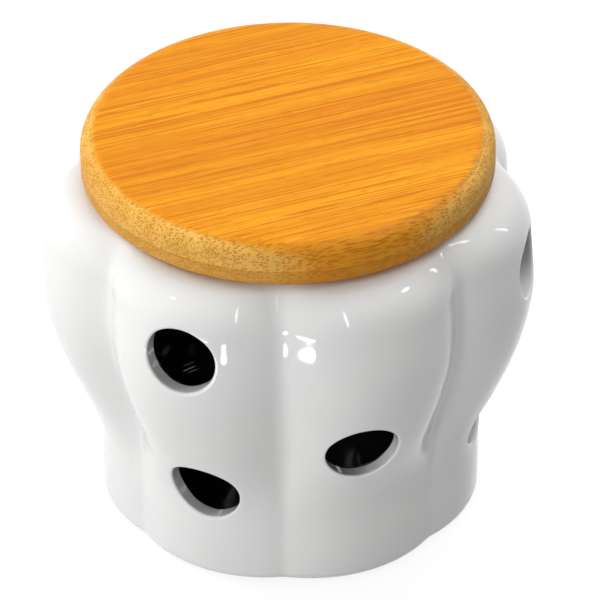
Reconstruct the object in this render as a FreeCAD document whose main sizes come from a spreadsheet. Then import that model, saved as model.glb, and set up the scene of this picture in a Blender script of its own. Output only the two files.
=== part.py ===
import FreeCAD, Part

import math
import os

import Sketcher
from FreeCAD import Placement, Rotation, Vector

# A vented garlic keeper: a lobed ceramic jar with a bamboo lid that lifts off.
# Millimetres, +Z up. The origin is the centre of the foot, on the surface that the jar stands on,
# and a crease between two lobes faces -Y.

# Driving dimensions: alias, value, what it is.
SIZES = [
    # the jar's outer form, in levels from the foot up to the rim. Each has a lobe radius, which sets how
    # deep the creases are. The lower levels have a height above the foot and a crown, the distance from
    # the axis to the top of a lobe. The upper levels hang from the rim and the mouth, so that they follow
    # when the jar is made taller or its mouth wider: a drop below the rim, and a reach from the mouth's
    # bore out to the crown.
    ("lobe_count", 7, "lobes round the jar, like the cloves of a bulb"),
    ("crease_radius", 4, "rounding of the creases between the lobes"),
    ("rim_height", 90.4, "from the foot up to the flat rim that the lid rests on"),
    ("mouth_diameter", 84, "bore of the mouth"),
    ("foot_height", 0, "underside of the foot"),
    ("foot_crown", 44.8, "foot, axis to crown"),
    ("foot_lobe", 32, "foot, radius of a lobe"),
    ("toe_height", 0.9, "half way round the foot's rounding"),
    ("toe_crown", 46.1, "toe, axis to crown"),
    ("toe_lobe", 33.2, "toe, radius of a lobe"),
    ("base_height", 3, "top of the foot's rounding"),
    ("base_crown", 46.7, "base, axis to crown"),
    ("base_lobe", 33.8, "base, radius of a lobe"),
    ("waist_height", 19, "where the upright base starts to flare"),
    ("waist_crown", 46.8, "waist, axis to crown"),
    ("waist_lobe", 32.2, "waist, radius of a lobe"),
    ("flare_drop", 54.4, "middle of the flare, below the rim"),
    ("flare_reach", 10.5, "flare, mouth to crown"),
    ("flare_lobe", 22.3, "flare, radius of a lobe"),
    ("side_drop", 36.4, "where the flare turns into the belly, below the rim"),
    ("side_reach", 16.9, "side, mouth to crown"),
    ("side_lobe", 24.7, "side, radius of a lobe"),
    ("belly_drop", 20.4, "widest part, below the rim"),
    ("belly_reach", 18.8, "belly, mouth to crown"),
    ("belly_lobe", 26.6, "belly, radius of a lobe"),
    ("shoulder_drop", 9.4, "where the belly turns in, below the rim"),
    ("shoulder_reach", 17.6, "shoulder, mouth to crown"),
    ("shoulder_lobe", 27.6, "shoulder, radius of a lobe"),
    ("collar_drop", 3.6, "half way round the shoulder, below the rim"),
    ("collar_reach", 14.4, "collar, mouth to crown"),
    ("collar_lobe", 27.7, "collar, radius of a lobe"),
    ("brow_drop", 0.8, "where the shoulder is nearly flat, below the rim"),
    ("brow_reach", 10.4, "brow, mouth to crown"),
    ("brow_lobe", 29, "brow, radius of a lobe"),
    ("rim_drop", 0, "the rim itself"),
    ("rim_reach", 6.4, "rim, mouth to crown"),
    ("rim_lobe", 33.7, "rim, radius of a lobe"),
    # the jar's inside
    ("wall", 4.2, "thickness of the clay wall"),
    ("floor_thickness", 5.5, "from the foot's underside up to the inside"),
    ("floor_round", 4, "rounding between the floor and the wall inside"),
    ("mouth_edge_round", 1.2, "rounding of the mouth's edge on the rim"),
    ("foot_recess_diameter", 74, "recess inside the foot ring"),
    ("foot_recess_depth", 1.4, "depth of that recess"),
    # vents through the wall
    ("vent_diameter", 17.6, "bore of each vent"),
    ("vent_upper_drop", 17.9, "centre of the upper vents, below the rim"),
    ("vent_middle_drop", 46.9, "centre of the middle vents, below the rim"),
    ("vent_lower_height", 26.5, "centre of the lower vents"),
    ("vent_pair_turn", 2, "an upper and lower vent off their lobe's crown, in degrees"),
    ("vent_middle_turn", -4.5, "a middle vent off its lobe's crown, in degrees"),
    # the lid
    ("lid_reach", 8, "from the mouth's bore out to the lid's edge"),
    ("lid_seat_gap", 0.2, "play under the lid where it rests on the rim"),
    ("lower_ply", 4.8, "thickness of the lower layer of bamboo"),
    ("upper_ply", 6.8, "thickness of the upper layer of bamboo"),
    ("strip_count", 5, "widths of a bamboo strip that go into the lid's diameter"),
    ("strip_least", 0.3, "narrowest strip left at the lid's edge, as a share of a strip's width"),
    ("upper_joint_share", -0.32, "upper joints off the centre line, as a share of a strip's width"),
    ("lower_joint_share", 0.3, "lower joints off the centre line, as a share of a strip's width"),
    ("lid_grain_turn", 23.6, "direction of the grain, from +X towards +Y, in degrees"),
    ("lid_top_round", 4.4, "rounding of the lid's upper edge"),
    ("lid_lower_round", 3, "rounding of the lid's lower edge"),
    ("plug_play", 1.2, "play between the plug and the mouth, on the radius"),
    ("plug_depth", 8, "how far the plug reaches below the lid"),
    ("plug_edge_round", 1.5, "rounding of the plug's lower edge"),
    ("ring_groove_depth", 1.8, "depth of the ring's groove in the plug"),
    ("ring_height", 3, "height of the sealing ring and of its groove"),
    ("ring_level", 1.2, "from the lid's underside down to the ring"),
    ("ring_play", 0.3, "play between the ring's lip and the mouth, on the radius"),
]

FOOT = ["foot", "toe", "base"]
LOWER_WALL = ["base", "waist"]
UPPER_WALL = ["flare", "side", "belly", "shoulder", "collar", "brow", "rim"]
WALL = LOWER_WALL + UPPER_WALL

doc = FreeCAD.newDocument("GarlicKeeper")
sheet = doc.addObject("Spreadsheet::Sheet", "Sizes")
for row, (alias, value, meaning) in enumerate(SIZES, start=1):
    sheet.set(f"A{row}", meaning)
    sheet.set(f"B{row}", str(value))
    sheet.setAlias(f"B{row}", alias)
doc.recompute()


# ---------- helpers ----------


def value_of(expression):
    """What an expression on the sheet's cells comes to, as a plain number."""
    result = sheet.evalExpression(expression)
    return float(getattr(result, "Value", result))


def new_body(label):
    body = doc.addObject("PartDesign::Body", label)
    body.Label = label
    return body


def origin_feature(body, role):
    return next(feature for feature in body.Origin.OriginFeatures if feature.Role == role)


def new_sketch(body, name, role, height=None):
    """A sketch on one of the body's origin planes, lifted to a height given as an expression."""
    sketch = body.newObject("Sketcher::SketchObject", name)
    sketch.AttachmentSupport = [(origin_feature(body, role), "")]
    sketch.MapMode = "FlatFace"
    if height is not None:
        sketch.setExpression("AttachmentOffset.Base.z", height)
    return sketch


def bind(sketch, kind, where, expression):
    """Adds a dimension to a sketch and ties its value to the sheet."""
    index = sketch.addConstraint(Sketcher.Constraint(kind, *where, value_of(expression)))
    sketch.setExpression(f"Constraints[{index}]", expression)


def bind_point(sketch, edge, point, across, up):
    """Places a sketch point by its two coordinates; a point on an axis is held to that axis."""
    for kind, expression, axis in (("DistanceX", across, -2), ("DistanceY", up, -1)):
        if expression == "0":
            sketch.addConstraint(Sketcher.Constraint("PointOnObject", edge, point, axis))
        else:
            bind(sketch, kind, (-1, 1, edge, point), expression)


def nearest_ends(sketch, edge, other):
    """The ends at which two edges of a sketch meet."""
    pairs = [(end, far_end) for end in (1, 2) for far_end in (1, 2)]

    def gap(pair):
        return (sketch.getPoint(edge, pair[0]) - sketch.getPoint(other, pair[1])).Length

    return min(pairs, key=gap)


def polar(radius, degrees):
    angle = math.radians(degrees)
    return Vector(radius * math.cos(angle), radius * math.sin(angle), 0)


def turned(body, corners):
    """Turns a half-section about Z. A corner is (radius, height), with the radius of the arc's centre
    as a third value where an arc, not a straight edge, leads on to the next corner."""
    sketch = new_sketch(body, f"{body.Label}_profile", "XZ_Plane")
    places = [Vector(value_of(corner[0]), value_of(corner[1]), 0) for corner in corners]
    for edge, corner in enumerate(corners):
        start = places[edge]
        end = places[(edge + 1) % len(corners)]
        if len(corner) == 2:
            sketch.addGeometry(Part.LineSegment(start, end), False)
        else:
            across = value_of(corner[2])
            chord = (across - end.x) ** 2 - (across - start.x) ** 2 + end.y**2 - start.y**2
            centre = Vector(across, chord / (2 * (end.y - start.y)), 0)
            circle = Part.Circle(centre, Vector(0, 0, 1), (start - centre).Length)
            sketch.addGeometry(Part.ArcOfCircle(circle, circle.parameter(start), circle.parameter(end)), False)
    for edge, corner in enumerate(corners):
        after = (edge + 1) % len(corners)
        sketch.addConstraint(Sketcher.Constraint("Coincident", edge, 2, after, 1))
        bind_point(sketch, edge, 1, corner[0], corner[1])
        if len(corner) == 3:
            bind(sketch, "DistanceX", (-1, 1, edge, 3), corner[2])
    solid = body.newObject("PartDesign::Revolution", f"{body.Label}_turned")
    solid.Profile = sketch
    solid.ReferenceAxis = (sketch, ["V_Axis"])
    solid.Angle = 360
    return solid


# ---------- the jar ----------


def height_of(name):
    if name in UPPER_WALL:
        return f"(Sizes.rim_height - Sizes.{name}_drop)"
    return f"Sizes.{name}_height"


def crown_of(name):
    if name in UPPER_WALL:
        return f"(Sizes.mouth_diameter / 2 + Sizes.{name}_reach)"
    return f"Sizes.{name}_crown"


def outer_level(name, inset="0"):
    """Height, crown, lobe radius and crease radius of a level, as expressions, inset by an amount."""
    return (
        height_of(name),
        f"{crown_of(name)} - {inset}",
        f"Sizes.{name}_lobe - {inset}",
        f"Sizes.crease_radius + {inset}",
    )


def inner_level(name, below, above):
    """The same level inside, one wall thickness in, measured square to the slope of the outer face."""
    rise = f"({height_of(above)} - {height_of(below)})"
    run = f"({crown_of(above)} - {crown_of(below)})"
    length = f"sqrt({rise} ^ 2 + {run} ^ 2)"
    shape = outer_level(name, f"Sizes.wall * {rise} / {length}")[1:]
    return (f"{height_of(name)} + Sizes.wall * {run} / {length}", *shape)


def floor_level(up, inward):
    """A level of the quarter round between the floor and the wall, as shares of its radius."""
    shape = outer_level("base", f"(Sizes.wall + Sizes.floor_round * {inward})")[1:]
    return (f"Sizes.floor_thickness + Sizes.floor_round * {up}", *shape)


def lobed_section(body, name, height, crown, lobe, crease):
    """A closed outline of one arc for each lobe and one for each crease, tangent all the way round."""
    sketch = new_sketch(body, name, "XY_Plane", height)
    lobes = int(value_of("Sizes.lobe_count"))
    pitch = 360 / lobes
    lobe_radius = value_of(lobe)
    crease_radius = value_of(crease)
    reach = value_of(crown) - lobe_radius
    between = lobe_radius + crease_radius
    half_chord = reach * math.sin(math.radians(pitch / 2))
    crease_reach = reach * math.cos(math.radians(pitch / 2)) + math.sqrt(between**2 - half_chord**2)

    for k in range(lobes):
        lobe_direction = -90 + pitch * (k + 0.5)
        lobe_centre = polar(reach, lobe_direction)
        next_lobe_centre = polar(reach, lobe_direction + pitch)
        crease_before = polar(crease_reach, lobe_direction - pitch / 2)
        crease_after = polar(crease_reach, lobe_direction + pitch / 2)
        share = lobe_radius / between
        start = lobe_centre + (crease_before - lobe_centre) * share
        meeting = lobe_centre + (crease_after - lobe_centre) * share
        end = next_lobe_centre + (crease_after - next_lobe_centre) * share
        crease_bottom = polar(crease_reach - crease_radius, lobe_direction + pitch / 2)
        sketch.addGeometry(Part.Arc(start, polar(value_of(crown), lobe_direction), meeting), False)
        sketch.addGeometry(Part.Arc(meeting, crease_bottom, end), False)

    for k in range(lobes):
        lobe_arc = 2 * k
        crease_arc = 2 * k + 1
        direction = f"((-90 + 360 / Sizes.lobe_count * {k + 0.5}) * 1deg)"
        bind(sketch, "DistanceX", (-1, 1, lobe_arc, 3), f"(({crown}) - ({lobe})) * cos{direction}")
        bind(sketch, "DistanceY", (-1, 1, lobe_arc, 3), f"(({crown}) - ({lobe})) * sin{direction}")
        bind(sketch, "Radius", (lobe_arc,), lobe)
        bind(sketch, "Radius", (crease_arc,), crease)
        for edge, other in ((lobe_arc, crease_arc), (crease_arc, (crease_arc + 1) % (2 * lobes))):
            end, other_end = nearest_ends(sketch, edge, other)
            sketch.addConstraint(Sketcher.Constraint("Tangent", edge, end, other, other_end))
    return sketch


def loft(body, kind, name, levels, straight=False):
    """A loft through the levels, smooth or with straight walls from one level to the next."""
    sections = [lobed_section(body, f"{name}_{k}", *shape) for k, shape in enumerate(levels)]
    feature = body.newObject(kind, name)
    feature.Profile = sections[0]
    feature.Sections = sections[1:]
    feature.Ruled = straight
    return feature


def bore_down(body, name, level, diameter, depth, downwards=True):
    """A round pocket on the axis, from a level down, or up from below."""
    sketch = new_sketch(body, f"{name}_outline", "XY_Plane", level)
    radius = f"{diameter} / 2"
    sketch.addGeometry(Part.Circle(Vector(0, 0, 0), Vector(0, 0, 1), value_of(radius)), False)
    sketch.addConstraint(Sketcher.Constraint("Coincident", 0, 3, -1, 1))
    bind(sketch, "Radius", (0,), radius)
    pocket = body.newObject("PartDesign::Pocket", name)
    pocket.Profile = sketch
    pocket.Reversed = not downwards
    pocket.setExpression("Length", depth)
    return pocket


def vents(body, name, heights, first_lobe, turn):
    """Level bores from the axis out through every second lobe."""
    sketch = new_sketch(body, f"{name}_outline", "XZ_Plane")
    direction = f"(360 / Sizes.lobe_count * {first_lobe + 0.5} + {turn}) * 1deg"
    sketch.AttachmentOffset = Placement(Vector(0, 0, 0), Rotation(Vector(0, 1, 0), value_of(direction)))
    sketch.setExpression("AttachmentOffset.Rotation.Angle", direction)
    for hole, height in enumerate(heights):
        centre = Vector(0, value_of(height), 0)
        radius = value_of("Sizes.vent_diameter / 2")
        sketch.addGeometry(Part.Circle(centre, Vector(0, 0, 1), radius), False)
        bind_point(sketch, hole, 3, "0", height)
        bind(sketch, "Radius", (hole,), "Sizes.vent_diameter / 2")
    pocket = body.newObject("PartDesign::Pocket", name)
    pocket.Profile = sketch
    pocket.Reversed = True
    pocket.setExpression("Length", f"{crown_of('belly')} * 1.2")
    pattern = body.newObject("PartDesign::PolarPattern", f"{name}_pattern")
    pattern.Originals = [pocket]
    pattern.Axis = (origin_feature(body, "Z_Axis"), [""])
    pattern.setExpression("Occurrences", "floor(Sizes.lobe_count / 2)")
    pattern.setExpression("Angle", "(floor(Sizes.lobe_count / 2) - 1) * 2 * 360deg / Sizes.lobe_count")
    body.Tip = pattern
    return pattern


def rim_edge(shape):
    """The name of the mouth's circle on the rim."""
    rim = value_of("Sizes.rim_height")
    radius = value_of("Sizes.mouth_diameter / 2")
    for number, edge in enumerate(shape.Edges, start=1):
        curve = edge.Curve
        if isinstance(curve, Part.Circle) and abs(curve.Center.z - rim) < 0.01 and abs(curve.Radius - radius) < 0.01:
            return f"Edge{number}"
    raise RuntimeError("the mouth has no round edge on the rim")


jar = new_body("ceramic_jar")
loft(jar, "PartDesign::AdditiveLoft", "jar_foot", [outer_level(name) for name in FOOT], straight=True)
loft(jar, "PartDesign::AdditiveLoft", "jar_form", [outer_level(name) for name in WALL])

# the inside is drawn in straight bands, because it hardly shows and a second smooth skin is heavy
inside = [floor_level(0, 1), floor_level(0.3, 0.3), floor_level(1, 0)]
for below, name, above in zip(WALL, WALL[1:], [*WALL[2:], WALL[-1]]):
    inside.append(inner_level(name, below, above))
loft(jar, "PartDesign::SubtractiveLoft", "jar_inside", inside, straight=True)

bore_down(jar, "mouth", "Sizes.rim_height", "Sizes.mouth_diameter", "Sizes.wall * 2")
bore_down(jar, "foot_recess", "0", "Sizes.foot_recess_diameter", "Sizes.foot_recess_depth", downwards=False)
doc.recompute()
mouth_edge = jar.newObject("PartDesign::Fillet", "mouth_edge")
mouth_edge.Base = (doc.getObject("foot_recess"), [rim_edge(doc.getObject("foot_recess").Shape)])
mouth_edge.setExpression("Radius", "Sizes.mouth_edge_round")
upper_vents = "Sizes.rim_height - Sizes.vent_upper_drop"
middle_vents = "Sizes.rim_height - Sizes.vent_middle_drop"
vents(jar, "vent_pair", [upper_vents, "Sizes.vent_lower_height"], -1, "Sizes.vent_pair_turn")
vents(jar, "vent_middle", [middle_vents], 0, "Sizes.vent_middle_turn")


# ---------- the lid: two layers of bamboo strips, a plug and its sealing ring ----------

LID_RADIUS = "(Sizes.mouth_diameter / 2 + Sizes.lid_reach)"


def seat_on_rim(piece):
    """Lid pieces are drawn from the lid's underside and lifted to where it rests."""
    piece.setExpression("Placement.Base.z", "Sizes.rim_height + Sizes.lid_seat_gap")


def strip_joints(shift):
    """The glue joints that a layer has between the lid's edges, as expressions from its centre line."""
    reach = value_of("Sizes.strip_count / 2 - Sizes.strip_least")
    first = math.ceil(-reach - value_of(shift))
    last = math.floor(reach - value_of(shift))
    return [f"2 * {LID_RADIUS} / Sizes.strip_count * ({shift} + ({k}))" for k in range(first, last + 1)]


def saw_into_strips(layer, disc, shift, bottom, thickness):
    """Saws a turned disc into strips along the grain, each a piece of its own."""
    edges = [f"-{LID_RADIUS}", *strip_joints(shift), LID_RADIUS]
    strips = []
    for number, (low, high) in enumerate(zip(edges, edges[1:]), start=1):
        blank = doc.addObject("Part::Box", f"{layer}_blank_{number}")
        blank.setExpression("Length", f"2 * {LID_RADIUS}")
        blank.setExpression("Width", f"({high}) - ({low})")
        blank.setExpression("Height", thickness)
        blank.setExpression("Placement.Base.x", f"-{LID_RADIUS}")
        blank.setExpression("Placement.Base.y", low)
        blank.setExpression("Placement.Base.z", bottom)
        strip = doc.addObject("Part::Common", f"lid_{layer}_strip_{number}")
        strip.Label = strip.Name
        strip.Base = disc
        strip.Tool = blank
        strip.Placement = Placement(Vector(0, 0, 0), Rotation(Vector(0, 0, 1), 1))
        strip.setExpression("Placement.Rotation.Angle", "Sizes.lid_grain_turn * 1deg")
        seat_on_rim(strip)
        strips.append(strip)
    return strips


lower_disc = new_body("lower_disc")
turned(
    lower_disc,
    [
        ("0", "0"),
        (f"{LID_RADIUS} - Sizes.lid_lower_round", "0", f"{LID_RADIUS} - Sizes.lid_lower_round"),
        (LID_RADIUS, "Sizes.lid_lower_round"),
        (LID_RADIUS, "Sizes.lower_ply"),
        ("0", "Sizes.lower_ply"),
    ],
)
upper_disc = new_body("upper_disc")
lid_top = "Sizes.lower_ply + Sizes.upper_ply"
turned(
    upper_disc,
    [
        ("0", "Sizes.lower_ply"),
        (LID_RADIUS, "Sizes.lower_ply"),
        (LID_RADIUS, f"{lid_top} - Sizes.lid_top_round", f"{LID_RADIUS} - Sizes.lid_top_round"),
        (f"{LID_RADIUS} - Sizes.lid_top_round", lid_top),
        ("0", lid_top),
    ],
)
lower_strips = saw_into_strips("lower", lower_disc, "Sizes.lower_joint_share", "0", "Sizes.lower_ply")
upper_strips = saw_into_strips("upper", upper_disc, "Sizes.upper_joint_share", "Sizes.lower_ply", "Sizes.upper_ply")

PLUG_RADIUS = "Sizes.mouth_diameter / 2 - Sizes.plug_play"
GROOVE_RADIUS = f"{PLUG_RADIUS} - Sizes.ring_groove_depth"
RING_BOTTOM = "-(Sizes.ring_level + Sizes.ring_height)"

plug = new_body("lid_plug")
turned(
    plug,
    [
        ("0", "-Sizes.plug_depth"),
        (f"{PLUG_RADIUS} - Sizes.plug_edge_round", "-Sizes.plug_depth", f"{PLUG_RADIUS} - Sizes.plug_edge_round"),
        (PLUG_RADIUS, "Sizes.plug_edge_round - Sizes.plug_depth"),
        (PLUG_RADIUS, RING_BOTTOM),
        (GROOVE_RADIUS, RING_BOTTOM),
        (GROOVE_RADIUS, "-Sizes.ring_level"),
        (PLUG_RADIUS, "-Sizes.ring_level"),
        (PLUG_RADIUS, "0"),
        ("0", "0"),
    ],
)
seat_on_rim(plug)

ring = new_body("sealing_ring")
lip_centre = "Sizes.mouth_diameter / 2 - Sizes.ring_play - Sizes.ring_height / 2"
turned(
    ring,
    [
        (GROOVE_RADIUS, RING_BOTTOM),
        (lip_centre, RING_BOTTOM, lip_centre),
        (lip_centre, "-Sizes.ring_level"),
        (GROOVE_RADIUS, "-Sizes.ring_level"),
    ],
)
seat_on_rim(ring)


# ---------- checks and export ----------

doc.recompute()
for thing in doc.Objects:
    if {"Invalid", "Error"} & set(thing.State):
        raise RuntimeError(f"{thing.Label} failed: {thing.State}")

pieces = [jar, *lower_strips, *upper_strips, plug, ring]
os.makedirs("parts", exist_ok=True)
for piece in pieces:
    shape = piece.Shape
    if shape.isNull() or not shape.isValid() or len(shape.Solids) != 1:
        raise RuntimeError(f"{piece.Label} is not one sound solid")
    shape.exportStep(f"parts/{piece.Label}.step")
    print(f"{piece.Label}: {shape.Volume / 1000:.1f} cm3")
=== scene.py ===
"""A lobed, vented ceramic garlic keeper with a bamboo lid, dressed for the studio."""

import math

import bmesh
import bpy
from mathutils import Matrix, Vector


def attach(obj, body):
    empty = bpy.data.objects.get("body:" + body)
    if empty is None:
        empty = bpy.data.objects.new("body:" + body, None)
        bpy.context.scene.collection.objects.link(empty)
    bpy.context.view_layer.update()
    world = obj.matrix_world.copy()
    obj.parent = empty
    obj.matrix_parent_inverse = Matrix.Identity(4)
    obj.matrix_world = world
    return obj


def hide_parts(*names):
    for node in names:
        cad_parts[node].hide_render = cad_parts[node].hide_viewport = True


MM = 0.001
TO_MM = 1000.0

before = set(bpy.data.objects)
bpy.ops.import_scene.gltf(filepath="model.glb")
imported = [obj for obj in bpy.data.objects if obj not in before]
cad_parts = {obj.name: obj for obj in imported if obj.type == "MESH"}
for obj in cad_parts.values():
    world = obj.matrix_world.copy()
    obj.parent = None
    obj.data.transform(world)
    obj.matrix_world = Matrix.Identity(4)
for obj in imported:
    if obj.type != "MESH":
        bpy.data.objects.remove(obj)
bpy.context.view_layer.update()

# ---------- sizes of the object's pieces, in millimetres ----------

LOBES = 7
HALF_PITCH = math.pi / LOBES
CREASE_ROUND = 4.0
RIM = 90.4
SHOULDER_ROUND = 11.0
FOOT_ROUND = 2.4
WALL = 4.2
FLOOR = 5.5
FLOOR_ROUND = 4.0
MOUTH_RADIUS = 42.0
MOUTH_ROUND = 1.2
FOOT_RECESS = (37.0, 1.4)
RECESS_EDGE_ROUND = 0.8

# height and distance from the axis, along the crowns of the lobes and along the creases between them;
# the shoulder's rounding is taken off afterwards
CROWN_LINE = [(0, 46.5), (10, 46.7), (19, 46.8), (27, 48.8), (36, 52.5), (45, 56.1), (54, 58.8), (62, 60.2),
              (70, 60.5), (79, 59.8), (91, 59.4)]
CREASE_LINE = [(0, 44.8), (10, 44.8), (19, 44.8), (27, 45.0), (36, 46.0), (45, 48.6), (54, 51.4), (62, 53.1),
               (70, 53.6), (81, 53.2), (86.8, 53.9), (89.6, 55.4), (91, 57.2)]

VENT_RADIUS = 8.8
VENT_OUTER_ROUND = 0.8
VENT_INNER_ROUND = 0.5
PAIR_HEIGHTS = (72.5, 26.5)
MIDDLE_HEIGHT = 43.5
PAIR_START = 2.0 - 180 / LOBES
MIDDLE_START = 180 / LOBES - 4.5
VENTS = [(PAIR_START + 720 / LOBES * k, height) for k in range(3) for height in PAIR_HEIGHTS]
VENTS += [(MIDDLE_START + 720 / LOBES * k, MIDDLE_HEIGHT) for k in range(3)]

GRAIN_TURN = math.radians(23.6)


# ---------- node trees as expressions ----------


class Value:
    """An output of a node tree that can be used in Python expressions."""

    def __init__(self, tree, socket):
        self.tree = tree
        self.socket = socket

    def node(self, kind, *inputs, out=0, **settings):
        """Adds a node after this value; inputs are values, numbers, or None to leave a default."""
        made = self.tree.nodes.new(kind)
        for name, setting in settings.items():
            setattr(made, name, setting)
        for place, given in enumerate(inputs):
            if isinstance(given, Value):
                self.tree.links.new(given.socket, made.inputs[place])
            elif given is not None:
                made.inputs[place].default_value = given
        return Value(self.tree, made.outputs[out])

    def math(self, operation, *others):
        return self.node("ShaderNodeMath", self, *others, operation=operation)

    def vector(self, operation, *others, out=0):
        return self.node("ShaderNodeVectorMath", self, *others, operation=operation, out=out)

    def __add__(self, other):
        if self.socket.type == "VECTOR":
            return self.vector("ADD", other)
        return self.math("ADD", other)

    __radd__ = __add__

    def __sub__(self, other):
        if self.socket.type == "VECTOR":
            return self.vector("SUBTRACT", other)
        return self.math("SUBTRACT", other)

    def __rsub__(self, other):
        return self.math("MULTIPLY", -1.0) + other

    def __mul__(self, other):
        return self.math("MULTIPLY", other)

    __rmul__ = __mul__

    def __truediv__(self, other):
        return self.math("DIVIDE", other)

    def __neg__(self):
        return self.math("MULTIPLY", -1.0)

    def sqrt(self):
        return self.math("SQRT")

    def abs(self):
        return self.math("ABSOLUTE")

    def sin(self):
        return self.math("SINE")

    def cos(self):
        return self.math("COSINE")

    def at_least(self, other):
        return self.math("MAXIMUM", other)

    def at_most(self, other):
        return self.math("MINIMUM", other)

    def hypot(self, other):
        return (self * self + other * other).sqrt()

    def ramp(self, low, high, to_low=0.0, to_high=1.0):
        """Rises smoothly from to_low to to_high while the value goes from low to high."""
        ends = (low, high, to_low, to_high)
        return self.node("ShaderNodeMapRange", self, *ends, interpolation_type="SMOOTHSTEP")

    def scaled(self, factor):
        return self.vector("SCALE", None, None, factor)

    def parts(self):
        split = self.tree.nodes.new("ShaderNodeSeparateXYZ")
        self.tree.links.new(self.socket, split.inputs[0])
        return [Value(self.tree, output) for output in split.outputs]

    def mix(self, first, second):
        """Blends two colours, this value being the share of the second."""
        blend = self.tree.nodes.new("ShaderNodeMix")
        blend.data_type = "RGBA"
        self.tree.links.new(self.socket, blend.inputs["Factor"])
        for name, colour in (("A", first), ("B", second)):
            socket = next(s for s in blend.inputs if s.name == name and s.type == "RGBA")
            if isinstance(colour, Value):
                self.tree.links.new(colour.socket, socket)
            else:
                socket.default_value = (*colour, 1.0)
        return Value(self.tree, next(s for s in blend.outputs if s.type == "RGBA"))


def source(tree, kind, out=0, **settings):
    """A node with nothing before it, such as a position or a texture coordinate."""
    made = tree.nodes.new(kind)
    for name, setting in settings.items():
        setattr(made, name, setting)
    return Value(tree, made.outputs[out])


def joined(x, y, z):
    return x.node("ShaderNodeCombineXYZ", x, y, z)


def node_group(name, inputs, outputs):
    """An empty geometry node group with its inputs as values, and its output node."""
    tree = bpy.data.node_groups.new(name, "GeometryNodeTree")
    for label, kind, default in inputs:
        socket = tree.interface.new_socket(label, in_out="INPUT", socket_type=kind)
        if default is not None:
            socket.default_value = default
    for label, kind in outputs:
        tree.interface.new_socket(label, in_out="OUTPUT", socket_type=kind)
    entry = tree.nodes.new("NodeGroupInput")
    leave = tree.nodes.new("NodeGroupOutput")
    values = [Value(tree, entry.outputs[k]) for k in range(len(inputs))]
    return tree, values, leave


# ---------- the jar's form ----------


def along_line(height, line):
    """The distance from the axis at a height, on a smooth line through the given points."""
    low, high = line[0][0], line[-1][0]
    least, most = 40.0, 65.0
    share = (height - low) / (high - low)
    curve = height.tree.nodes.new("ShaderNodeFloatCurve")
    height.tree.links.new(share.socket, curve.inputs["Value"])
    points = curve.mapping.curves[0].points
    while len(points) < len(line):
        points.new(0.5, 0.5)
    for point, (place, distance) in zip(points, line):
        point.location = ((place - low) / (high - low), (distance - least) / (most - least))
    curve.mapping.update()
    return Value(height.tree, curve.outputs[0]) * (most - least) + least


def both(first, second, rounding):
    """What lies inside both forms, with a rounded edge where they meet. Forms are signed distances."""
    corner = (first + rounding).at_least(0.0).hypot((second + rounding).at_least(0.0))
    return first.at_least(second).at_most(-rounding) + corner


def lobed_wall(x, y, height):
    """The upright wall: seven round lobes with rounded creases between them."""
    radius = x.hypot(y)
    turn = x.math("ARCTAN2", -y)
    off_crease = (turn - (turn / (2 * HALF_PITCH)).math("ROUND") * (2 * HALF_PITCH)).abs()
    off_crown = HALF_PITCH - off_crease
    out = radius * off_crown.cos()
    aside = radius * off_crown.sin()

    crown = along_line(height, CROWN_LINE)
    crease = along_line(height, CREASE_LINE)
    crown_reach = crown + CREASE_ROUND
    crease_reach = crease + CREASE_ROUND
    cosine = math.cos(HALF_PITCH)
    squares = crown_reach * crown_reach - crease_reach * crease_reach
    centre = squares / ((crown_reach - crease_reach * cosine) * 2.0)
    lobe = (out - centre).hypot(aside) - (crown - centre)
    hollow_out = crease_reach * cosine
    hollow_aside = crease_reach * math.sin(HALF_PITCH)
    hollow = CREASE_ROUND - (out - hollow_out).hypot(aside - hollow_aside)
    in_crease = ((hollow_out - centre) * aside - (out - centre) * hollow_aside).math("GREATER_THAN", 0.0)
    return lobe + (hollow - lobe) * in_crease


def jar_form():
    """A node group: how far a place lies outside the outer face, and how far from the hollow, in the clay."""
    outputs = [("Outer face", "NodeSocketFloat"), ("Hollow", "NodeSocketFloat")]
    tree, (place,), leave = node_group("Jar form", [("Position", "NodeSocketVector", None)], outputs)
    x, y, z = [part * TO_MM for part in place.parts()]
    outer = both(lobed_wall(x, y, z), z - RIM, SHOULDER_ROUND)
    outer = both(outer, -z, FOOT_ROUND)
    hollow = both(outer + WALL, FLOOR - z, FLOOR_ROUND)
    tree.links.new(outer.socket, leave.inputs["Outer face"])
    tree.links.new(hollow.socket, leave.inputs["Hollow"])
    return tree


RUN_STEPS = 7
PROBE_STEP = 0.05
LEAST_SLOPE = 0.15


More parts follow.
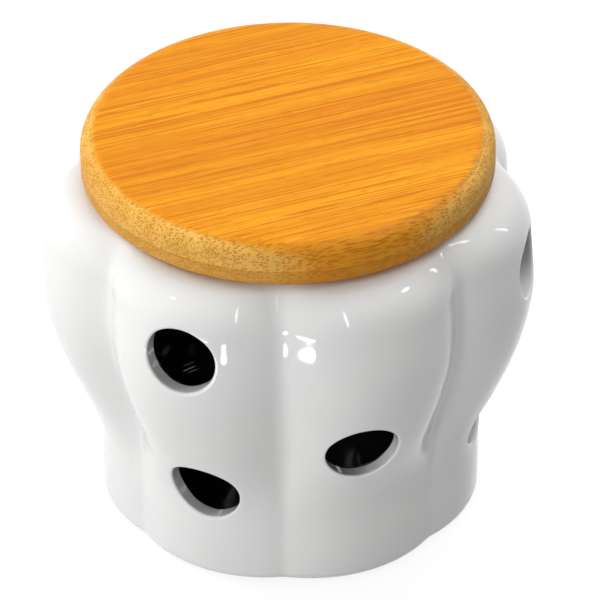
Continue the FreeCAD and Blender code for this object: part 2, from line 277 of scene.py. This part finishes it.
def jar_tree():
    """Runs every point of the jar's net along its own ray until it meets the form."""
    inputs = [("Net", "NodeSocketGeometry", None), ("Glaze", "NodeSocketMaterial", None)]
    tree, (net, glaze), leave = node_group("Jar", inputs, [("Geometry", "NodeSocketGeometry")])
    form = jar_form()
    here = source(tree, "GeometryNodeInputPosition")
    ray = named(tree, "ray", "FLOAT_VECTOR")
    inside = named(tree, "inside", "FLOAT")
    sink = named(tree, "sink", "FLOAT")

    def measured(place):
        inner = tree.nodes.new("GeometryNodeGroup")
        inner.node_tree = form
        tree.links.new(place.socket, inner.inputs["Position"])
        outer, hollow = Value(tree, inner.outputs["Outer face"]), Value(tree, inner.outputs["Hollow"])
        return outer + (hollow - outer) * inside, outer

    geometry = net
    distance, depth = measured(here)
    for _ in range(RUN_STEPS):
        ahead, _ = measured(here + ray.scaled(PROBE_STEP * MM))
        behind, _ = measured(here - ray.scaled(PROBE_STEP * MM))
        slope = ((ahead - behind) / (2 * PROBE_STEP)).at_least(LEAST_SLOPE)
        move = ray.scaled(distance / slope * -MM)
        geometry = geometry.node("GeometryNodeSetPosition", geometry, None, None, move)
    geometry = geometry.node("GeometryNodeSetPosition", geometry, None, None, ray.scaled(sink * -MM))
    geometry = geometry.node("GeometryNodeStoreNamedAttribute", geometry, None, "depth", depth)
    geometry = geometry.node("GeometryNodeSetShadeSmooth", geometry)
    geometry = geometry.node("GeometryNodeRealizeInstances", geometry)
    geometry = geometry.node("GeometryNodeSetMaterial", geometry, None, glaze)
    tree.links.new(geometry.socket, leave.inputs["Geometry"])
    return tree


def named(tree, name, kind):
    value = source(tree, "GeometryNodeInputNamedAttribute", data_type=kind)
    value.socket.node.inputs["Name"].default_value = name
    return value


# The jar's net: rows round the axis, from under the foot up the outer face, over the rim and down inside.
# Every point has a place and a ray in its own upright plane, as (out, up, ray out, ray up, inside).

COLUMNS = 280
WALL_START = 9.5
WALL_RISE = 69.9
WALL_STEPS = 52
WALL_LEVELS = [WALL_START + WALL_RISE * k / WALL_STEPS for k in range(WALL_STEPS + 1)]
SHOULDER_STEPS = 20
SHOULDER_TURNS = [90 / SHOULDER_STEPS * k for k in range(1, SHOULDER_STEPS + 1)]
CORNER_STEPS = 10

# distances from the axis at which the rays start, and the centres and reaches of the fans that turn corners
OUTER_START = 52.0
INNER_START = 46.0
FOOT_START = 50.0
FOOT_LEVELS = (4.8, 7.2)
FOOT_FAN = (42.0, FOOT_ROUND, 3.0)
SHOULDER_FAN = (44.5, WALL_LEVELS[-1], 12.0)
INNER_SHOULDER_FAN = (43.4, WALL_LEVELS[-1], 8.0)
FLOOR_CORNER_FAN = (36.0, WALL_START, 4.5)
FLOOR_RINGS = (27.0, 16.0, 7.0)

# the net round a vent: how far it is laid out past the bore, and where its rings lie
VENT_MARGIN = 3.6
SHOULDER_SWEEP = 14.5
VENT_START = 50
RING_SHARES = (0.3, 0.57, 0.79, 0.93)
RIM_TURNS = (0, 18, 36, 54, 72, 90)
BORE_LAP = 0.3


def arc(centre_out, centre_up, radius, first, last, count):
    """Points on an arc of a profile, from one angle in degrees to another."""
    angles = [math.radians(first + (last - first) * k / count) for k in range(count + 1)]
    return [(centre_out + radius * math.cos(a), centre_up + radius * math.sin(a)) for a in angles]


def still(points):
    return [(out, up, 0, 0, 0) for out, up in points]


def fan(centre_out, centre_up, reach, turns, inside):
    """Points whose rays spread from one centre."""
    rays = [(math.cos(math.radians(turn)), math.sin(math.radians(turn))) for turn in turns]
    return [(centre_out + reach * out, centre_up + reach * up, out, up, inside) for out, up in rays]


def jar_rows():
    """All rows of the net, and which of them are the lowest wall level outside and inside."""
    recess, rise = FOOT_RECESS
    edge = RECESS_EDGE_ROUND
    corner = [90 / CORNER_STEPS * k for k in range(CORNER_STEPS + 1)]
    rows = still([(recess / 2, rise), (recess - edge / 2, rise), (recess, rise)])
    rows += still(arc(recess + edge, edge, edge, 180, 270, 4))
    rows += fan(*FOOT_FAN, [turn - 90 for turn in corner], 0)
    rows += [(FOOT_START, level, 1, 0, 0) for level in FOOT_LEVELS]
    outside = len(rows)
    rows += [(OUTER_START, level, 1, 0, 0) for level in WALL_LEVELS]
    rows += fan(*SHOULDER_FAN, SHOULDER_TURNS, 0)
    mouth = MOUTH_RADIUS + MOUTH_ROUND
    rows += [(mouth, RIM, 0, 1, 0)]
    rows += still(arc(mouth, RIM - MOUTH_ROUND, MOUTH_ROUND, 90, 180, 5)[1:])
    rows += still(arc(mouth, RIM - WALL + MOUTH_ROUND, MOUTH_ROUND, 180, 270, 5))
    rows += fan(*INNER_SHOULDER_FAN, SHOULDER_TURNS[-2::-1], 1)
    rows += [(INNER_START, level, 1, 0, 1) for level in reversed(WALL_LEVELS)]
    within = len(rows) - 1
    rows += fan(*FLOOR_CORNER_FAN, [-turn for turn in corner[1:]], 1)
    rows += still([(out, FLOOR) for out in FLOOR_RINGS])
    return rows, outside, within


class Net:
    """Points with rays, and the faces between them."""

    def __init__(self):
        self.points = []
        self.rays = []
        self.insides = []
        self.sinks = []
        self.faces = []

    def add(self, point, ray, inside, sink=0.0):
        self.points.append(Vector(point))
        self.rays.append(Vector(ray))
        self.insides.append(float(inside))
        self.sinks.append(sink)
        return len(self.points) - 1

    def band(self, first, second):
        """Faces between two closed rings of as many points."""
        count = len(first)
        for k in range(count):
            after = (k + 1) % count
            self.faces.append((first[k], first[after], second[after], second[k]))

    def cap(self, ring, height):
        centre = self.add((0, 0, height), (0, 0, 0), 0)
        for k in range(len(ring)):
            self.faces.append((ring[k], ring[(k + 1) % len(ring)], centre))


def vent_block(turn, height):
    """The columns and wall levels of the net that a vent takes up."""
    reach = VENT_RADIUS + VENT_MARGIN
    crown = next(b for (a, b), (c, _) in zip(CROWN_LINE, CROWN_LINE[1:]) if a <= height < c)
    pitch = 2 * math.pi * crown / COLUMNS
    middle = turn / 360 * COLUMNS
    left, right = round(middle - reach / pitch), round(middle + reach / pitch)
    rises = [SHOULDER_SWEEP * math.sin(math.radians(turn)) for turn in SHOULDER_TURNS]
    levels = WALL_LEVELS + [WALL_LEVELS[-1] + rise for rise in rises]
    low = min(range(len(levels)), key=lambda k: abs(levels[k] - height + reach))
    high = min(range(len(levels)), key=lambda k: abs(levels[k] - height - reach))
    return left, right, low, high


def vent_rings(net, edge, middle, outward, across, inside, rounding):
    """Rings from the edge of a vent's block in to its round hole and a little way down its bore."""
    sign = -1 if inside else 1
    spokes = []
    for k in edge:
        away = net.points[k] - middle
        angle = math.atan2(away.z, away.dot(across))
        spokes.append(across * math.cos(angle) + Vector((0, 0, math.sin(angle))))
    rings = [edge]
    rim = [middle + spoke * (VENT_RADIUS + rounding) for spoke in spokes]
    for share in RING_SHARES:
        ring = []
        for k, target in zip(edge, rim):
            ray = net.rays[k].lerp(outward, share).normalized()
            ring.append(net.add(net.points[k].lerp(target, share), ray, inside))
        rings.append(ring)
    for turn in RIM_TURNS:
        bend = math.radians(turn)
        radius = VENT_RADIUS + rounding * (1 - math.sin(bend))
        sink = rounding * (1 - math.cos(bend)) * sign
        spots = [middle + spoke * radius for spoke in spokes]
        rings.append([net.add(spot, outward, inside, sink) for spot in spots])
    spots = [net.points[k] for k in rings[-1]]
    rings.append([net.add(spot, outward, inside, (rounding + BORE_LAP) * sign) for spot in spots])
    return rings


def jar_net():
    """The jar's net with its nine vents."""
    rows, outside, within = jar_rows()
    net = Net()
    rings = []
    for out, up, ray_out, ray_up, inside in rows:
        ring = []
        for column in range(COLUMNS):
            turn = 2 * math.pi * column / COLUMNS
            side = Vector((math.sin(turn), -math.cos(turn), 0))
            point = side * out + Vector((0, 0, up))
            ring.append(net.add(point, side * ray_out + Vector((0, 0, ray_up)), inside))
        rings.append(ring)

    open_cells = set()
    for turn, height in VENTS:
        left, right, low, high = vent_block(turn, height)
        for level in range(low, high):
            for column in range(left, right):
                open_cells.add((outside + level, column % COLUMNS))
                open_cells.add((within - level - 1, column % COLUMNS))
    for row in range(len(rings) - 1):
        for column in range(COLUMNS):
            if (row, column) in open_cells:
                continue
            after = (column + 1) % COLUMNS
            corners = (rings[row][column], rings[row][after], rings[row + 1][after], rings[row + 1][column])
            net.faces.append(corners)
    net.cap(rings[0], FOOT_RECESS[1])
    net.cap(rings[-1], FLOOR)

    for turn, height in VENTS:
        left, right, low, high = vent_block(turn, height)
        loop = [(column, low) for column in range(left, right)]
        loop += [(right, level) for level in range(low, high)]
        loop += [(column, high) for column in range(right, left, -1)]
        loop += [(left, level) for level in range(high, low, -1)]
        angle = math.radians(turn)
        outward = Vector((math.sin(angle), -math.cos(angle), 0))
        across = Vector((math.cos(angle), math.sin(angle), 0))
        middle = outward * VENT_START + Vector((0, 0, height))
        outer_edge = [rings[outside + level][column % COLUMNS] for column, level in loop]
        inner_edge = [rings[within - level][column % COLUMNS] for column, level in loop]
        outer = vent_rings(net, outer_edge, middle, outward, across, 0, VENT_OUTER_ROUND)
        inner = vent_rings(net, inner_edge, middle, outward, across, 1, VENT_INNER_ROUND)
        bore = outer + inner[::-1]
        for first, second in zip(bore, bore[1:]):
            net.band(first, second)
    return net


def jar_mesh(glaze):
    """The finished jar as a plain mesh, with the depth below its outer face kept on every point."""
    net = jar_net()
    mesh = bpy.data.meshes.new("jar_net")
    mesh.from_pydata([point * MM for point in net.points], [], net.faces)
    rays = mesh.attributes.new("ray", "FLOAT_VECTOR", "POINT")
    rays.data.foreach_set("vector", [part for ray in net.rays for part in ray])
    for name, values in (("inside", net.insides), ("sink", net.sinks)):
        mesh.attributes.new(name, "FLOAT", "POINT").data.foreach_set("value", values)
    form = bmesh.new()
    form.from_mesh(mesh)
    bmesh.ops.recalc_face_normals(form, faces=form.faces)
    form.to_mesh(mesh)
    form.free()

    maker = bpy.data.objects.new("jar_maker", mesh)
    bpy.context.scene.collection.objects.link(maker)
    modifier = maker.modifiers.new("Jar", "NODES")
    modifier.node_group = jar_tree()
    for item in modifier.node_group.interface.items_tree:
        if item.in_out == "INPUT" and item.name == "Glaze":
            modifier[item.identifier] = glaze
    evaluated = maker.evaluated_get(bpy.context.evaluated_depsgraph_get())
    finished = bpy.data.meshes.new_from_object(evaluated)
    maker.modifiers.remove(modifier)
    bpy.data.objects.remove(maker)
    return finished


# ---------- the lid's pieces ----------

LID_RADIUS = 50.0
LID_BOTTOM = 90.6
PLY_SEAM = LID_BOTTOM + 4.8
LID_TOP = PLY_SEAM + 6.8
TOP_ROUND = 4.4
LOWER_ROUND = 3.0
FLAT_INSET = 0.5
UPPER_JOINTS = [-26.4, -6.4, 13.6, 33.6]
LOWER_JOINTS = [-34.0, -14.0, 6.0, 26.0]
STRIP_TINTS = {"upper": [0.35, 0.44, 0.55, 0.4, 0.72], "lower": [0.6, 0.35, 0.5, 0.7, 0.45]}
PLUG_RADIUS = 40.8
PLUG_BOTTOM = LID_BOTTOM - 8.0
PLUG_ROUND = 1.5
GROOVE_DEPTH = 1.8
RING_TOP = LID_BOTTOM - 1.2
RING_HEIGHT = 3.0
RING_REACH = 41.7
PLY_SEGMENTS = 288
PLUG_SEGMENTS = 240
SHARP_ANGLE = math.radians(35)


def turned(profile, segments, closed=False):
    """Turns a profile of (distance from the axis, height) points in millimetres about the Z axis."""
    form = bmesh.new()
    rings = []
    angles = [2 * math.pi * k / segments for k in range(segments)]
    for out, up in profile:
        if out == 0:
            rings.append([form.verts.new((0, 0, up * MM))] * segments)
            continue
        spots = [(out * MM * math.cos(a), out * MM * math.sin(a), up * MM) for a in angles]
        rings.append([form.verts.new(spot) for spot in spots])
    pairs = list(zip(rings, rings[1:]))
    if closed:
        pairs.append((rings[-1], rings[0]))
    for below, above in pairs:
        for k in range(segments):
            corners = [below[k], below[(k + 1) % segments], above[(k + 1) % segments], above[k]]
            form.faces.new(list(dict.fromkeys(corners)))
    bmesh.ops.recalc_face_normals(form, faces=form.faces)
    return form


def piece(name, form, surface, body, node):
    """Makes a mesh form a finished piece of the object."""
    mesh = bpy.data.meshes.new(name)
    form.to_mesh(mesh)
    form.free()
    mesh.shade_smooth()
    mesh.set_sharp_from_angle(angle=SHARP_ANGLE)
    mesh.materials.append(surface)
    return place_piece(name, mesh, body, node)


def place_piece(name, mesh, body, node):
    made = bpy.data.objects.new(name, mesh)
    bpy.context.scene.collection.objects.link(made)
    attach(made, body)
    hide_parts(node)
    return made


def strip(ply, low, high):
    """The part of a ply between two joints, each given by its distance across the grain."""
    form = ply.copy()
    across = Vector((-math.sin(GRAIN_TURN), math.cos(GRAIN_TURN), 0))
    for place, side in ((low, -1), (high, 1)):
        if place is None:
            continue
        everything = form.verts[:] + form.edges[:] + form.faces[:]
        bmesh.ops.bisect_plane(form, geom=everything, dist=1e-7, plane_co=across * place * MM,
                               plane_no=across * side, clear_outer=True)
        rim = [edge for edge in form.edges if edge.is_boundary]
        bmesh.ops.contextual_create(form, geom=rim)
    bmesh.ops.recalc_face_normals(form, faces=form.faces)
    return form


def lid_ply(layer, profile, joints, surface):
    """Glues one layer of the lid up from its strips."""
    ply = turned(profile, PLY_SEGMENTS)
    edges = [None, *joints, None]
    for number, (low, high) in enumerate(zip(edges, edges[1:]), start=1):
        name = f"lid_{layer}_strip_{number}"
        made = piece(f"bamboo_{layer}_strip_{number}", strip(ply, low, high), surface, "lid", name)
        tint = made.data.attributes.new("strip_tint", "FLOAT", "POINT")
        shade = STRIP_TINTS[layer][number - 1]
        tint.data.foreach_set("value", [shade] * len(made.data.vertices))
    ply.free()


def lower_ply_profile():
    foot = arc(LID_RADIUS - LOWER_ROUND, LID_BOTTOM + LOWER_ROUND, LOWER_ROUND, -90, 0, 10)
    return [(0, LID_BOTTOM), (LID_RADIUS - LOWER_ROUND - FLAT_INSET, LID_BOTTOM), *foot,
            (LID_RADIUS, PLY_SEAM), (0, PLY_SEAM)]


def upper_ply_profile():
    brow = arc(LID_RADIUS - TOP_ROUND, LID_TOP - TOP_ROUND, TOP_ROUND, 0, 90, 14)
    return [(0, PLY_SEAM), (LID_RADIUS, PLY_SEAM), *brow, (LID_RADIUS - TOP_ROUND - FLAT_INSET, LID_TOP),
            (0, LID_TOP)]


def plug_profile():
    foot = arc(PLUG_RADIUS - PLUG_ROUND, PLUG_BOTTOM + PLUG_ROUND, PLUG_ROUND, -90, 0, 6)
    groove = PLUG_RADIUS - GROOVE_DEPTH
    low = RING_TOP - RING_HEIGHT
    return [(0, PLUG_BOTTOM), (PLUG_RADIUS - PLUG_ROUND - 0.4, PLUG_BOTTOM), *foot,
            (PLUG_RADIUS, low - 0.2), (PLUG_RADIUS - 0.2, low), (groove, low), (groove, RING_TOP),
            (PLUG_RADIUS - 0.2, RING_TOP), (PLUG_RADIUS, RING_TOP + 0.2), (PLUG_RADIUS, LID_BOTTOM),
            (0, LID_BOTTOM)]


def ring_profile():
    groove = PLUG_RADIUS - GROOVE_DEPTH
    half = RING_HEIGHT / 2
    lip = arc(RING_REACH - half, RING_TOP - half, half, -90, 90, 16)
    return [(groove, RING_TOP - RING_HEIGHT), *lip, (groove, RING_TOP)]


# ---------- finishes ----------


def finish(name, **constants):
    """A new surface with its shader's constants set; gives it, the object's coordinates and a setter."""
    material = bpy.data.materials.new(name)
    material.use_nodes = True
    tree = material.node_tree
    shader = tree.nodes["Principled BSDF"]
    for label, setting in constants.items():
        shader.inputs[label.replace("_", " ")].default_value = setting

    def wire(label, value):
        tree.links.new(value.socket, shader.inputs[label])

    here = source(tree, "ShaderNodeTexCoord", out="Object")
    return material, here, wire


def noise(place, scale, detail=2.0, roughness=0.5):
    """Noise at a scale in cycles per unit of the place's coordinates."""
    return place.node("ShaderNodeTexNoise", place, None, scale, detail, roughness)


def round_cells(place, scale, randomness):
    """How far a place lies from the middle of its cell; the scale is in cells per unit."""
    inputs = (place, None, scale, None, None, None, None, None, randomness)
    return place.node("ShaderNodeTexVoronoi", *inputs, out="Distance")


def bump(height, strength, distance):
    return height.node("ShaderNodeBump", strength, distance, None, height)


def white_glaze():
    """Thick white gloss outside, black gloss inside, and bare clay where the foot stands."""
    material, here, wire = finish("white_glaze", IOR=1.5, Coat_Roughness=0.03, Coat_IOR=1.5)
    tree = here.tree
    x, y, z = [part * TO_MM for part in here.parts()]
    depth = source(tree, "ShaderNodeAttribute", out="Fac", attribute_name="depth")
    place = joined(x, y, z)

    pooling = noise(place, 0.035, 1.0)
    white = pooling.ramp(0.3, 0.7).mix((0.755, 0.757, 0.750), (0.795, 0.792, 0.784))
    wander = noise(place, 0.12, 2.0) - 0.5
    inside = (depth + wander * 0.7).ramp(-3.45, -3.75)
    glazed = inside.mix(white, (0.030, 0.031, 0.033))
    specks = noise(place, 2.2, 3.0)
    clay = specks.ramp(0.35, 0.65).mix((0.60, 0.545, 0.47), (0.69, 0.64, 0.56))
    bare = (z + wander * 0.3).ramp(0.55, 0.3) * (x.hypot(y) - FOOT_RECESS[0]).ramp(-0.6, 0.1)
    wire("Base Color", bare.mix(glazed, clay))
    gloss = noise(place, 0.3, 2.0).ramp(0.3, 0.7, 0.05, 0.09)
    wire("Roughness", gloss + bare * 0.6)
    wire("Coat Weight", (1.0 - bare) * 0.25)
    ripple = noise(place, 0.11, 1.0)
    wire("Normal", bump(ripple + specks * bare * 0.02, 0.35, 0.0004))
    return material


# darker bands in the lid, each with its place across the grain, half its width and its depth of colour
DEEP_BANDS = [(14.0, 1.8, 0.8), (4.5, 1.3, 0.7), (-1.8, 2.2, 0.8), (-20.0, 1.4, 0.4), (30.0, 2.4, 0.7),
              (38.0, 2.0, 0.6)]
TINT_SHIFT = 37.0


def bamboo():
    """Laminated bamboo: fibre bundles along the grain, seen as streaks on faces and as dots on cut ends, with
    painted sheen on the ends and painted shade on the sides.
    """
    material, here, wire = finish("bamboo", Specular_IOR_Level=0.16)
    tree = here.tree
    x, y, z = [part * TO_MM for part in here.parts()]
    along = x * math.cos(GRAIN_TURN) + y * math.sin(GRAIN_TURN)
    across = y * math.cos(GRAIN_TURN) - x * math.sin(GRAIN_TURN)
    tint = source(tree, "ShaderNodeAttribute", out="Fac", attribute_name="strip_tint")
    shift = tint * TINT_SHIFT

    facing = source(tree, "ShaderNodeTexCoord", out="Normal")
    grain = (math.cos(GRAIN_TURN), math.sin(GRAIN_TURN), 0.0)
    endways = facing.vector("DOT_PRODUCT", grain, out="Value").abs()
    cut_end = endways.ramp(0.16, 0.44)
    flat = facing.parts()[2].abs().ramp(0.90, 0.99)

    bands = noise(joined(across + shift, along * 0.004, z), 0.13, 2.0)
    streaks = noise(joined(across + shift, along * 0.006, z + shift), 0.9, 3.0, 0.55)
    hairs = noise(joined(across + shift, along * 0.012, z), 2.4, 2.0)
    fibres = noise(joined(across - shift, along * 0.016, z), 1.55, 1.0)
    flecks = noise(joined(across, along * 0.09, z + shift), 1.9, 1.0)
    deep = sum((across - place).abs().ramp(half, half * 0.2, 0.0, depth) for place, half, depth in DEEP_BANDS)

    amber = bands.ramp(0.32, 0.66).mix((0.70, 0.235, 0.004), (0.805, 0.33, 0.009))
    amber = deep.mix(amber, (0.67, 0.193, 0.003))
    face = (streaks.ramp(0.52, 0.38) * 0.55).mix(amber, (0.65, 0.197, 0.003))
    face = (hairs.ramp(0.50, 0.66) * 0.45).mix(face, (0.89, 0.425, 0.024))
    face = (fibres.ramp(0.56, 0.61) * 0.75).mix(face, (0.56, 0.15, 0.003))
    face = (flecks.ramp(0.62, 0.70) * 0.5).mix(face, (0.52, 0.14, 0.003))

    bundles = joined(across + shift, along * 0.1, z)
    cells = round_cells(bundles, 1.95, 0.75)
    dots = cells.ramp(0.50, 0.28) * (1.0 - flat * 0.85)
    # cut ends: a paler colour, partly the end grain's own tone and partly painted sheen
    pale_with_sheen = bands.ramp(0.3, 0.7).mix((0.74, 0.40, 0.075), (0.86, 0.50, 0.115))
    end_grain_and_sheen = streaks.ramp(0.3, 0.7).mix(pale_with_sheen.scaled(0.88), pale_with_sheen)

    wood = cut_end.mix(face, end_grain_and_sheen)
    # painted shade: sides that are neither flat nor cut ends are darkened to a golden brown, partly their own
    # tone and partly shade
    wood = ((1.0 - flat) * (1.0 - cut_end) * 0.6).mix(wood, (0.60, 0.24, 0.018))
    wood = (dots * (0.5 + bands * 0.4)).mix(wood, (0.43, 0.135, 0.007))
    lower = (z - PLY_SEAM).ramp(0.35, -0.35)
    wood = (lower * 0.35).mix(wood, (0.36, 0.155, 0.018))
    wood = (tint - 0.3).ramp(0.0, 0.5, 0.0, 0.3).mix(wood, (0.60, 0.20, 0.006))
    seam = (z - PLY_SEAM).abs().ramp(0.28, 0.05) * streaks.ramp(0.35, 0.65, 0.1, 0.75)
    wire("Base Color", (seam * 0.6).mix(wood, (0.25, 0.10, 0.02)))
    wire("Roughness", streaks.ramp(0.3, 0.7, 0.52, 0.42) + cut_end * 0.12)
    wire("Normal", bump(streaks - dots * 0.4, 0.3, 0.00012))
    return material


def silicone():
    """Milky silicone with a faint satin bloom."""
    material, here, wire = finish("silicone", IOR=1.41, Subsurface_Weight=0.4)
    place = here.scaled(TO_MM)
    bloom = noise(place, 0.8, 3.0)
    wire("Base Color", bloom.ramp(0.3, 0.7).mix((0.72, 0.72, 0.70), (0.78, 0.78, 0.765)))
    wire("Roughness", bloom.ramp(0.3, 0.7, 0.34, 0.46))
    wire("Normal", bump(noise(place, 6.0, 2.0), 0.1, 0.00005))
    return material


# ---------- studio ----------


# the soft lamps, all alike in size and distance: direction from the front, elevation, brightness
BOX_SIZE = 0.6
BOX_DISTANCE = 1.2
SOFT_LAMPS = {
    "left_low": (-110, 8, 2.3),
    "left_high": (-110, 40, 4.2),
    "front_left_low": (-65, 8, 3.7),
    "front_low": (-14, 6, 5.8),
    "back_high": (180, 65, 3.0),
    "right_back": (140, 50, 3.6),
    "right_high": (95, 60, 2.4),
}

# small lamps that only mirror in the glaze: direction from the front, elevation, distance, width, height,
# brightness
GLEAMS = {
    "left_spark": (-67, 48, 1.0, 0.06, 0.06, 12.0),
    "front_strip": (9, 31, 1.1, 0.03, 0.7, 7.0),
    "right_spark": (89, 50, 1.1, 0.14, 0.14, 5.0),
    "right_strip": (112, 26, 1.2, 0.05, 0.4, 5.0),
}

# bright cards close to the jar, which only mirror in it too: place, aim, width, height, brightness
CARDS = {
    "near_card": ((-0.0122, -0.083, 0.0623), (-0.012, -0.057, 0.077), 0.004, 0.004, 6.0),
    "low_card": ((-0.070, -0.166, 0.010), (0.0065, -0.056, 0.0755), 0.05, 0.02, 6.0),
}

LAMP_AIM = Vector((0, 0, 0.055))
FLOOR_HALF_SIZE = 6.0
FLOOR_COLOUR = (0.2, 0.2, 0.2, 1)
FLOOR_GLOW = 0.85


def look_from(eye, target, roll):
    """A placing that looks from one point at another, leaned by a small roll."""
    ahead = (target - eye).normalized()
    right = ahead.cross(Vector((0, 0, 1))).normalized()
    up = right.cross(ahead)
    leaned_right = right * math.cos(roll) + up * math.sin(roll)
    leaned_up = up * math.cos(roll) - right * math.sin(roll)
    placing = Matrix((leaned_right, leaned_up, -ahead)).transposed().to_4x4()
    placing.translation = eye
    return placing


def set_camera():
    elevation, turn, roll = math.radians(35.489), math.radians(2.585), math.radians(-0.602)
    distance, aside, height = 1.7744, 0.00025, 0.050
    eye = Vector((aside, -distance * math.cos(elevation), distance * math.sin(elevation) + height))
    placing = look_from(eye, Vector((0.00254, 0, 0.051944)), roll)
    camera = bpy.data.objects.new("camera", bpy.data.cameras.new("camera"))
    camera.data.lens = 435.8
    camera.data.sensor_width = 36
    camera.data.clip_start = 0.05
    camera.data.clip_end = 20
    camera.matrix_world = Matrix.Rotation(turn, 4, "Z") @ placing
    bpy.context.scene.collection.objects.link(camera)
    bpy.context.scene.camera = camera


def lamp_at(name, eye, aim, width, height, brightness, gleam=False):
    """A lamp that faces a point, as bright as its own face. A gleam is round and only mirrors in gloss."""
    lamp = bpy.data.lights.new(name, "AREA")
    lamp.shape = "ELLIPSE" if gleam else "RECTANGLE"
    lamp.size, lamp.size_y = width, height
    lamp.energy = brightness * width * height * 4
    holder = bpy.data.objects.new(name, lamp)
    holder.matrix_world = look_from(Vector(eye), Vector(aim), 0)
    holder.visible_camera = False
    holder.visible_diffuse = not gleam
    holder.visible_glossy = gleam
    bpy.context.scene.collection.objects.link(holder)


def softbox(name, azimuth, elevation, distance, width, height, brightness, gleam=False):
    """A lamp in a direction from the object, aimed at its middle."""
    a, e = math.radians(azimuth), math.radians(elevation)
    away = Vector((math.sin(a) * math.cos(e), -math.cos(a) * math.cos(e), math.sin(e)))
    lamp_at(name, LAMP_AIM + away * distance, LAMP_AIM, width, height, brightness, gleam)


def set_lamps():
    for name, (azimuth, elevation, brightness) in SOFT_LAMPS.items():
        softbox(name, azimuth, elevation, BOX_DISTANCE, BOX_SIZE, BOX_SIZE, brightness)
    for name, placing in GLEAMS.items():
        softbox(name, *placing, gleam=True)
    for name, placing in CARDS.items():
        lamp_at(name, *placing, gleam=True)


def looked_at(tree):
    """One where the camera, a reflection or clear glass looks straight at a surface."""
    rays = tree.nodes.new("ShaderNodeLightPath")
    labels = ("Is Camera Ray", "Is Glossy Ray", "Is Transmission Ray")
    camera, glossy, clear = [Value(tree, rays.outputs[label]) for label in labels]
    return camera.at_least(glossy).at_least(clear)


def set_world():
    world = bpy.data.worlds.new("studio")
    world.use_nodes = True
    tree = world.node_tree
    tree.nodes.clear()
    direction = source(tree, "ShaderNodeTexCoord", out="Generated")
    up = direction.parts()[2]
    soft = up.ramp(-0.2, 0.8, 0.10, 0.15)
    seen = looked_at(tree)
    strength = soft + (1.0 - soft) * seen
    glow = strength.node("ShaderNodeBackground", (1, 1, 1, 1), strength)
    leave = tree.nodes.new("ShaderNodeOutputWorld")
    tree.links.new(glow.socket, leave.inputs["Surface"])
    bpy.context.scene.world = world


def set_floor():
    form = bmesh.new()
    bmesh.ops.create_grid(form, x_segments=1, y_segments=1, size=FLOOR_HALF_SIZE)
    mesh = bpy.data.meshes.new("floor")
    form.to_mesh(mesh)
    form.free()
    floor = bpy.data.objects.new("floor", mesh)
    bpy.context.scene.collection.objects.link(floor)
    material, here, wire = finish("floor_white", Roughness=0.9)
    shader = material.node_tree.nodes["Principled BSDF"]
    shader.inputs["Base Color"].default_value = FLOOR_COLOUR
    shader.inputs["Specular IOR Level"].default_value = 0.0
    shader.inputs["Emission Strength"].default_value = FLOOR_GLOW
    seen = looked_at(here.tree)
    wire("Emission Color", seen.mix((0, 0, 0), (1, 1, 1)))
    mesh.materials.append(material)


# ---------- putting it together ----------

glaze = white_glaze()
wood = bamboo()
rubber = silicone()

place_piece("glazed_jar", jar_mesh(glaze), "jar", "ceramic_jar")
lid_ply("lower", lower_ply_profile(), LOWER_JOINTS, wood)
lid_ply("upper", upper_ply_profile(), UPPER_JOINTS, wood)
piece("bamboo_plug", turned(plug_profile(), PLUG_SEGMENTS), wood, "lid", "lid_plug")
gasket = turned(ring_profile(), PLUG_SEGMENTS, closed=True)
piece("silicone_ring", gasket, rubber, "lid", "sealing_ring")

bpy.context.scene.view_settings.view_transform = "Standard"
set_camera()
set_world()
set_floor()
set_lamps()
